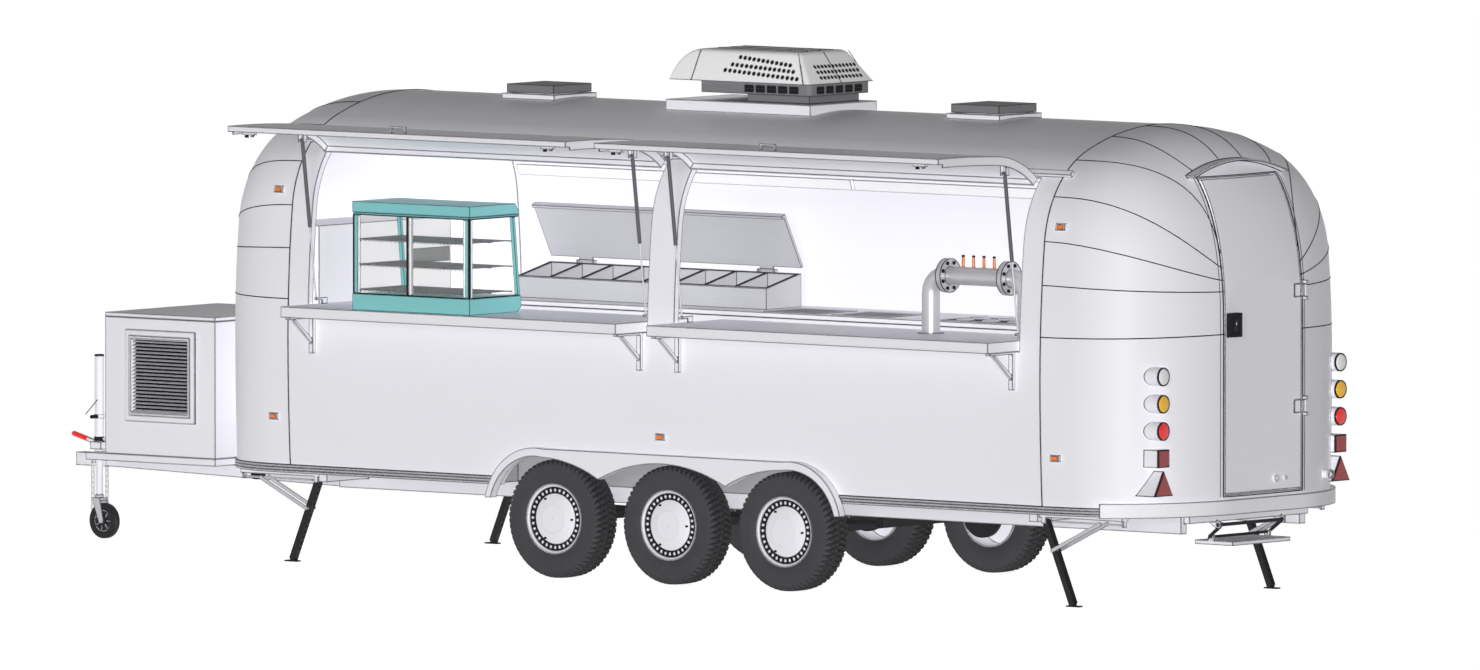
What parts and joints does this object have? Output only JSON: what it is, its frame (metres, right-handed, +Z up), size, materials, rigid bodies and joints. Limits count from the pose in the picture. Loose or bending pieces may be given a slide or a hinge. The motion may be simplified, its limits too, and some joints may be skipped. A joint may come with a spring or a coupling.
{
  "type": "food trailer",
  "caption": "Towed rounded food trailer with lift-up serving hatches, counters, rear door, roof cooler, drawbar with generator box, steadies and jockey wheel.",
  "frame": {"origin": "on the ground, below the middle of the trailer's bounding box as it stands with its hatches open", "axes": "+X along the trailer to the rear, -Y to the serving side, +Z up"},
  "size_m": [8.495, 2.8506, 2.918],
  "materials": {
    "body_paint": "gloss",
    "floor_board": "matt",
    "frame_steel": "satin",
    "tyre_rubber": "matt",
    "wheel_white": "gloss",
    "trim_grey": "satin",
    "lamp_red": "gloss",
    "cooler_dark": "matt",
    "cooler_white": "satin",
    "vent_white": "satin",
    "vent_dark": "satin",
    "box_paint": "satin",
    "box_lid": "satin",
    "engine_grey": "matt",
    "strut_dark": "gloss",
    "strut_bright": "polished",
    "counter_white": "satin",
    "steady_black": "satin",
    "steady_zinc": "satin",
    "zinc": "satin",
    "small_tyre": "matt",
    "coupling_dark": "satin",
    "step_dark": "satin",
    "case_teal": "satin",
    "case_glass": "clear",
    "cabinet_light": "satin",
    "prep_steel": "satin",
    "pipe_grey": "satin",
    "light_white": "satin"
  },
  "bodies": {
    "trailer": {"centre_shell": "body_paint", "rear_cap": "body_paint", "front_cap": "body_paint", "floor": "floor_board", "chassis": "frame_steel", "axles": "frame_steel", "skirt_trim": "trim_grey", "bumper": "trim_grey", "lamps": "lamp_red", "cooler_base": "cooler_dark", "cooler_cover": "cooler_white", "vent_frames": "vent_white", "generator_box": "box_paint", "generator_block": "engine_grey", "counter_front": "counter_white", "counter_rear": "counter_white", "coupling": "coupling_dark", "safety_chains": "zinc", "back_counter": "cabinet_light", "prep_unit": "prep_steel", "tap_tower": "pipe_grey", "light_bars": "light_white"},
    "door_leaf": {"door": "body_paint"},
    "front_hatch": {"hatch_front": "body_paint"},
    "rear_hatch": {"hatch_rear": "body_paint"},
    "front_strut_tubes": {"strut_tubes_front": "strut_dark"},
    "rear_strut_tubes": {"strut_tubes_rear": "strut_dark"},
    "front_strut_rods": {"strut_rods_front": "strut_bright"},
    "rear_strut_rods": {"strut_rods_rear": "strut_bright"},
    "case": {"display_case": "case_teal", "display_glass": "case_glass"},
    "front_vent_lid": {"vent_lid_front": "vent_dark"},
    "rear_vent_lid": {"vent_lid_rear": "vent_dark"},
    "generator_cover": {"generator_lid": "box_lid"},
    "prep_cover": {"prep_lid": "prep_steel"},
    "jockey_tube": {"jockey_leg": "zinc"},
    "jockey_swivel": {"jockey_fork": "zinc"},
    "jockey_roller": {"jockey_wheel": "small_tyre"},
    "step_frame": {"step_arms": "steady_black"},
    "step_board": {"step_tread": "step_dark"},
    "front_near_steady": {"steady_leg_front_near": "steady_black"},
    "front_near_brace": {"steady_brace_front_near": "steady_zinc"},
    "front_far_steady": {"steady_leg_front_far": "steady_black"},
    "front_far_brace": {"steady_brace_front_far": "steady_zinc"},
    "rear_near_steady": {"steady_leg_rear_near": "steady_black"},
    "rear_near_brace": {"steady_brace_rear_near": "steady_zinc"},
    "rear_far_steady": {"steady_leg_rear_far": "steady_black"},
    "rear_far_brace": {"steady_brace_rear_far": "steady_zinc"},
    "front_near_wheel": {"wheel_front_near": "wheel_white", "tyre_front_near": "tyre_rubber"},
    "front_far_wheel": {"wheel_front_far": "wheel_white", "tyre_front_far": "tyre_rubber"},
    "middle_near_wheel": {"wheel_middle_near": "wheel_white", "tyre_middle_near": "tyre_rubber"},
    "middle_far_wheel": {"wheel_middle_far": "wheel_white", "tyre_middle_far": "tyre_rubber"},
    "rear_near_wheel": {"wheel_rear_near": "wheel_white", "tyre_rear_near": "tyre_rubber"},
    "rear_far_wheel": {"wheel_rear_far": "wheel_white", "tyre_rear_far": "tyre_rubber"}
  },
  "joints": [
    {"name": "door_hinge", "type": "hinge", "parent": "trailer", "child": "door_leaf", "pos_m": [4.2315, 0.678, 1.47], "axis": [0, 0, 1], "range_deg": [0, 115]},
    {"name": "front_hatch_hinge", "type": "hinge", "parent": "trailer", "child": "front_hatch", "pos_m": [-0.4765, -0.54362, 2.34527], "axis": [1, 0, 0], "range_deg": [0, 87.2]},
    {"name": "front_strut_pivot", "type": "hinge", "parent": "front_hatch", "child": "front_strut_tubes", "pos_m": [-0.4765, -0.81468, 2.37514], "axis": [1, 0, 0], "range_deg": [-105.5, 0]},
    {"name": "front_strut_slide", "type": "slide", "parent": "front_strut_tubes", "child": "front_strut_rods", "axis": [0, 0.1333, -0.9911], "range_m": [-0.391, 0]},
    {"name": "rear_hatch_hinge", "type": "hinge", "parent": "trailer", "child": "rear_hatch", "pos_m": [2.1335, -0.54362, 2.34527], "axis": [1, 0, 0], "range_deg": [0, 87.2]},
    {"name": "rear_strut_pivot", "type": "hinge", "parent": "rear_hatch", "child": "rear_strut_tubes", "pos_m": [2.1335, -0.81468, 2.37514], "axis": [1, 0, 0], "range_deg": [-105.5, 0]},
    {"name": "rear_strut_slide", "type": "slide", "parent": "rear_strut_tubes", "child": "rear_strut_rods", "axis": [0, 0.1333, -0.9911], "range_m": [-0.391, 0]},
    {"name": "display_case_slide", "type": "slide", "parent": "trailer", "child": "case", "axis": [0, 1, 0], "range_m": [0, 0.331]},
    {"name": "front_vent_hinge", "type": "hinge", "parent": "trailer", "child": "front_vent_lid", "pos_m": [-0.993, 0.325, 2.63], "axis": [0, -1, 0], "range_deg": [0, 65]},
    {"name": "rear_vent_hinge", "type": "hinge", "parent": "trailer", "child": "rear_vent_lid", "pos_m": [2.158, 0.325, 2.63], "axis": [0, -1, 0], "range_deg": [0, 65]},
    {"name": "generator_lid_hinge", "type": "hinge", "parent": "trailer", "child": "generator_cover", "pos_m": [-3.2225, 0.829, 1.283], "axis": [-1, 0, 0], "range_deg": [0, 100]},
    {"name": "prep_lid_hinge", "type": "hinge", "parent": "trailer", "child": "prep_cover", "pos_m": [-0.6315, 1.237, 1.616], "axis": [1, 0, 0], "range_deg": [0, 74]},
    {"name": "jockey_slide", "type": "slide", "parent": "trailer", "child": "jockey_tube", "axis": [0, 0, 1], "range_m": [0, 0.25]},
    {"name": "jockey_swivel_turn", "type": "hinge", "parent": "jockey_tube", "child": "jockey_swivel", "pos_m": [-3.9545, 0.175, 0.219], "axis": [0, 0, 1], "continuous": true},
    {"name": "jockey_wheel_spin", "type": "hinge", "parent": "jockey_swivel", "child": "jockey_roller", "pos_m": [-3.9165, 0.175, 0.1], "axis": [0, 1, 0], "continuous": true},
    {"name": "front_near_steady_fold", "type": "hinge", "parent": "trailer", "child": "front_near_steady", "pos_m": [-1.7465, -0.559, 0.462], "axis": [0, 1, 0], "range_deg": [0, 61]},
    {"name": "front_near_brace_pivot", "type": "hinge", "parent": "front_near_steady", "child": "front_near_brace", "pos_m": [-1.81183, -0.559, 0.30505], "axis": [0, 1, 0], "range_deg": [-83.99, 0]},
    {"name": "front_far_steady_fold", "type": "hinge", "parent": "trailer", "child": "front_far_steady", "pos_m": [-1.7465, 1.209, 0.462], "axis": [0, 1, 0], "range_deg": [0, 61]},
    {"name": "front_far_brace_pivot", "type": "hinge", "parent": "front_far_steady", "child": "front_far_brace", "pos_m": [-1.81183, 1.209, 0.30505], "axis": [0, 1, 0], "range_deg": [-83.99, 0]},
    {"name": "rear_near_steady_fold", "type": "hinge", "parent": "trailer", "child": "rear_near_steady", "pos_m": [3.4035, -0.559, 0.462], "axis": [0, -1, 0], "range_deg": [0, 61]},
    {"name": "rear_near_brace_pivot", "type": "hinge", "parent": "rear_near_steady", "child": "rear_near_brace", "pos_m": [3.46883, -0.559, 0.30505], "axis": [0, -1, 0], "range_deg": [-83.99, 0]},
    {"name": "rear_far_steady_fold", "type": "hinge", "parent": "trailer", "child": "rear_far_steady", "pos_m": [3.4035, 1.209, 0.462], "axis": [0, -1, 0], "range_deg": [0, 61]},
    {"name": "rear_far_brace_pivot", "type": "hinge", "parent": "rear_far_steady", "child": "rear_far_brace", "pos_m": [3.46883, 1.209, 0.30505], "axis": [0, -1, 0], "range_deg": [-83.99, 0]},
    {"name": "step_fold", "type": "hinge", "parent": "trailer", "child": "step_frame", "pos_m": [4.1285, 0.325, 0.44], "axis": [0, 1, 0], "range_deg": [0, 38]},
    {"name": "step_board_pivot", "type": "hinge", "parent": "step_frame", "child": "step_board", "pos_m": [4.0535, 0.325, 0.37], "axis": [0, 1, 0], "range_deg": [-38.3, 0]},
    {"name": "front_near_wheel_spin", "type": "hinge", "parent": "trailer", "child": "front_near_wheel", "pos_m": [0.0215, -0.675, 0.33], "axis": [0, 1, 0], "continuous": true},
    {"name": "front_far_wheel_spin", "type": "hinge", "parent": "trailer", "child": "front_far_wheel", "pos_m": [0.0215, 1.325, 0.33], "axis": [0, 1, 0], "continuous": true},
    {"name": "middle_near_wheel_spin", "type": "hinge", "parent": "trailer", "child": "middle_near_wheel", "pos_m": [0.836, -0.675, 0.33], "axis": [0, 1, 0], "continuous": true},
    {"name": "middle_far_wheel_spin", "type": "hinge", "parent": "trailer", "child": "middle_far_wheel", "pos_m": [0.836, 1.325, 0.33], "axis": [0, 1, 0], "continuous": true},
    {"name": "rear_near_wheel_spin", "type": "hinge", "parent": "trailer", "child": "rear_near_wheel", "pos_m": [1.6505, -0.675, 0.33], "axis": [0, 1, 0], "continuous": true},
    {"name": "rear_far_wheel_spin", "type": "hinge", "parent": "trailer", "child": "rear_far_wheel", "pos_m": [1.6505, 1.325, 0.33], "axis": [0, 1, 0], "continuous": true}
  ],
  "couplings": [
    {"joint": "front_strut_pivot", "follows": "front_hatch_hinge", "ratio": -1.2064},
    {"joint": "front_strut_slide", "follows": "front_hatch_hinge", "m_per_rad": -0.25625},
    {"joint": "rear_strut_pivot", "follows": "rear_hatch_hinge", "ratio": -1.2064},
    {"joint": "rear_strut_slide", "follows": "rear_hatch_hinge", "m_per_rad": -0.25625},
    {"joint": "display_case_slide", "follows": "front_hatch_hinge", "m_per_rad": 0.21683},
    {"joint": "front_near_brace_pivot", "follows": "front_near_steady_fold", "ratio": -1.372},
    {"joint": "front_far_brace_pivot", "follows": "front_far_steady_fold", "ratio": -1.372},
    {"joint": "rear_near_brace_pivot", "follows": "rear_near_steady_fold", "ratio": -1.372},
    {"joint": "rear_far_brace_pivot", "follows": "rear_far_steady_fold", "ratio": -1.372},
    {"joint": "step_board_pivot", "follows": "step_fold", "ratio": -1}
  ]
}
